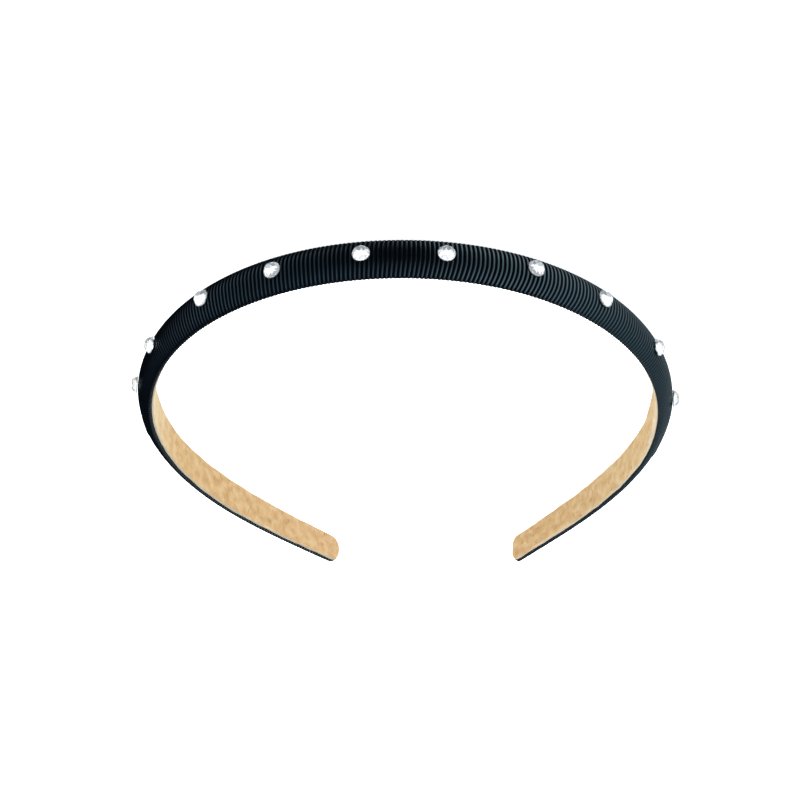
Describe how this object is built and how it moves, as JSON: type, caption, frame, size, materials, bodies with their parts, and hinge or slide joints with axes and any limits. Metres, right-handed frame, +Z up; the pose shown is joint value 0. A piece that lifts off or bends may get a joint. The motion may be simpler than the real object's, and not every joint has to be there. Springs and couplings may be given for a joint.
{
  "type": "jewelled headband",
  "caption": "Slim springy headband wrapped in black ribbed ribbon, lined with tan suede and set with a spaced row of flat-backed rhinestones; it lies on its side.",
  "frame": {"origin": "on the surface the headband lies on, under the middle of its bounding box", "axes": "+X across the headband from one side of the head to the other, +Y from the crown of the bend towards the two tips, +Z up through the strip's width"},
  "size_m": [0.1406, 0.1494, 0.011],
  "materials": {
    "core_plastic": "plain moulded",
    "ribbon_black": "ribbed grosgrain with a low sheen",
    "suede_tan": "brushed suede, lighter on its nap",
    "crystal": "clear faceted glass with a foil back"
  },
  "bodies": {
    "root": {"band_core": "core_plastic", "ribbon_cover": "ribbon_black", "suede_lining": "suede_tan", "rhinestone_1": "crystal", "rhinestone_2": "crystal", "rhinestone_3": "crystal", "rhinestone_4": "crystal", "rhinestone_5": "crystal", "rhinestone_6": "crystal", "rhinestone_7": "crystal", "rhinestone_8": "crystal", "rhinestone_9": "crystal", "rhinestone_10": "crystal"}
  },
  "joints": []
}
